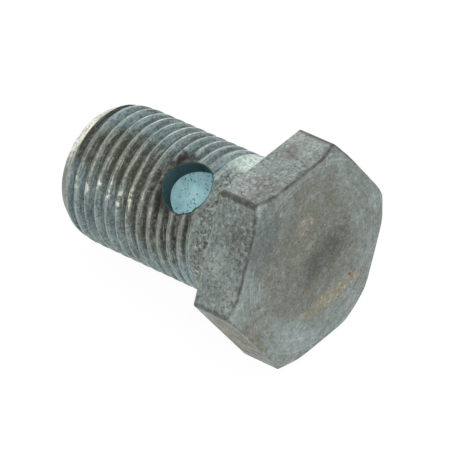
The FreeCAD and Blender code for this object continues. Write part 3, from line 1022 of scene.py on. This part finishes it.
class BOLT_OT_stage(bpy.types.Operator):
    """Sets the floor, the lamps, the world and the camera"""

    bl_idname = "bolt.stage"
    bl_label = "Stage"
    bl_options = {"REGISTER", "UNDO"}

    # The floor lies just under the edge of the head and the tip, in metres.
    floor_height = -0.00989
    # The camera's stand, from the photograph: degrees, metres and millimetres of lens.
    azimuth = 41.6862
    elevation = 42.9052
    roll = -1.0301
    aim = (0.0009758, 0.0005676, -0.0014616)
    distance = 0.559159
    lens = 410.962
    # Share of its white that the floor gives by itself, which keeps the bolt's shadow soft.
    paper_glow = 0.95
    # Strength of the even light that fills the room.
    room_light = 0.62
    # The lamps, which all face the bolt: name, place and size in metres, and watts.
    lamps = (
        ("overhead_softbox", (0.0, 0.1, 0.9), (0.8, 0.8), 2.5),
        ("back_panel", (-0.8, 0.6, 0.2), (1.6, 0.5), 3.3),
        ("right_panel", (0.9, 0.1, 0.4), (0.7, 0.7), 2.7),
        ("front_fill", (0.46, -0.55, 0.7), (0.3, 0.3), 5.2),
    )

    def floor(self):
        """Lays a white floor that keeps the bolt's shadow."""
        clear_selection()
        bpy.ops.mesh.primitive_plane_add(size=6.0, location=(0.0, 0.0, self.floor_height))
        floor = bpy.context.active_object
        floor.name = "studio_floor"
        bpy.ops.object.transform_apply(location=True, rotation=True, scale=True)
        floor.data.materials.append(self.floor_material())

    def floor_material(self):
        """Matt white paper: bright to the eye and in reflections, with a soft shadow."""
        material = bpy.data.materials.new("matt_white_paper")
        material.use_nodes = True
        tree = material.node_tree
        tree.nodes.clear()
        rays = add_node(tree, "ShaderNodeLightPath", {}, {}).outputs
        found = {"camera": rays["Is Camera Ray"], "highlight_breakup": rays["Is Glossy Ray"]}
        found["through"] = rays["Is Transmission Ray"]
        white = (*srgb("ffffff"), 1.0)
        rows = (
            ("seen", MATH, MOST, ("camera", "highlight_breakup")),
            ("seen", MATH, MOST, ("seen", "through")),
            ("glow", MATH, TIMES, ("seen", self.paper_glow)),
            ("paper", "ShaderNodeBsdfDiffuse", {}, (white,)),
            ("light", "ShaderNodeEmission", {}, (white, 1.0)),
            ("mixed", "ShaderNodeMixShader", {}, ("glow", "paper", "light")),
        )
        add_rows(tree, found, rows)
        add_node(tree, "ShaderNodeOutputMaterial", {}, {"Surface": found["mixed"]})
        return material

    def lamp(self, name, place, size, watts):
        """Hangs a soft oblong lamp that faces the bolt."""
        clear_selection()
        bpy.ops.object.light_add(type="AREA", location=place)
        lamp = bpy.context.active_object
        lamp.name = name
        lamp.data.shape = "RECTANGLE"
        lamp.data.size = size[0]
        lamp.data.size_y = size[1]
        lamp.data.energy = watts
        # The bolt lies round the origin.
        aim = Vector((0.0, 0.0, 0.0)) - Vector(place)
        lamp.rotation_euler = aim.to_track_quat("-Z", "Y").to_euler()

    def world(self, scene):
        """Fills the room with soft even light, white where the camera looks past the floor."""
        world = bpy.data.worlds.new("studio")
        scene.world = world
        world.use_nodes = True
        tree = world.node_tree
        tree.nodes.clear()
        rays = add_node(tree, "ShaderNodeLightPath", {}, {}).outputs
        found = {"seen": rays["Is Camera Ray"]}
        white = (*srgb("ffffff"), 1.0)
        rows = (
            ("fill", "ShaderNodeBackground", {}, (white, self.room_light)),
            ("light", "ShaderNodeBackground", {}, (white, 1.0)),
            ("mixed", "ShaderNodeMixShader", {}, ("seen", "fill", "light")),
        )
        add_rows(tree, found, rows)
        add_node(tree, "ShaderNodeOutputWorld", {}, {"Surface": found["mixed"]})

    def camera(self, scene):
        """Stands the camera where the photograph was taken."""
        turn = Matrix.Rotation(math.radians(self.azimuth), 3, "Z")
        turn @= Matrix.Rotation(math.radians(90.0 - self.elevation), 3, "X")
        turn @= Matrix.Rotation(math.radians(self.roll), 3, "Z")
        place = Vector(self.aim) + turn @ Vector((0.0, 0.0, self.distance))
        clear_selection()
        bpy.ops.object.camera_add(location=place, rotation=turn.to_euler())
        camera = bpy.context.active_object
        camera.name = "photo_camera"
        camera.data.sensor_width = 36.0
        camera.data.lens = self.lens
        camera.data.clip_start = 0.01
        camera.data.clip_end = 20.0
        scene.camera = camera

    def execute(self, context):
        scene = context.scene
        self.floor()
        for name, place, size, watts in self.lamps:
            self.lamp(name, place, size, watts)
        self.world(scene)
        self.camera(scene)
        scene.view_settings.view_transform = "Standard"
        return {"FINISHED"}


class BOLT_PT_panel(bpy.types.Panel):
    """Sizes, colours and steps of the bolt"""

    bl_idname = "BOLT_PT_panel"
    bl_label = "Hollow bolt"
    bl_space_type = "VIEW_3D"
    bl_region_type = "UI"
    bl_category = "Bolt"

    def draw(self, context):
        layout = self.layout
        for group in (context.scene.bolt_sizes, context.scene.bolt_finish):
            box = layout.box()
            for name in group.__annotations__:
                box.prop(group, name)
        for step in (BOLT_OT_hollow_bolt, BOLT_OT_stage):
            layout.operator(step.bl_idname)


CLASSES = (BoltSizes, BoltFinish, BOLT_OT_hollow_bolt, BOLT_OT_stage, BOLT_PT_panel)


def register():
    """Makes the sizes, the operators and the panel known to Blender."""
    for item in CLASSES:
        bpy.utils.register_class(item)
    bpy.types.Scene.bolt_sizes = bpy.props.PointerProperty(type=BoltSizes)
    bpy.types.Scene.bolt_finish = bpy.props.PointerProperty(type=BoltFinish)


def unregister():
    """Takes them away again."""
    del bpy.types.Scene.bolt_finish
    del bpy.types.Scene.bolt_sizes
    for item in reversed(CLASSES):
        bpy.utils.unregister_class(item)


def main():
    """Registers the classes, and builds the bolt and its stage."""
    register()
    bpy.ops.bolt.hollow_bolt()
    bpy.ops.bolt.stage()


if __name__ == "__main__":
    main()
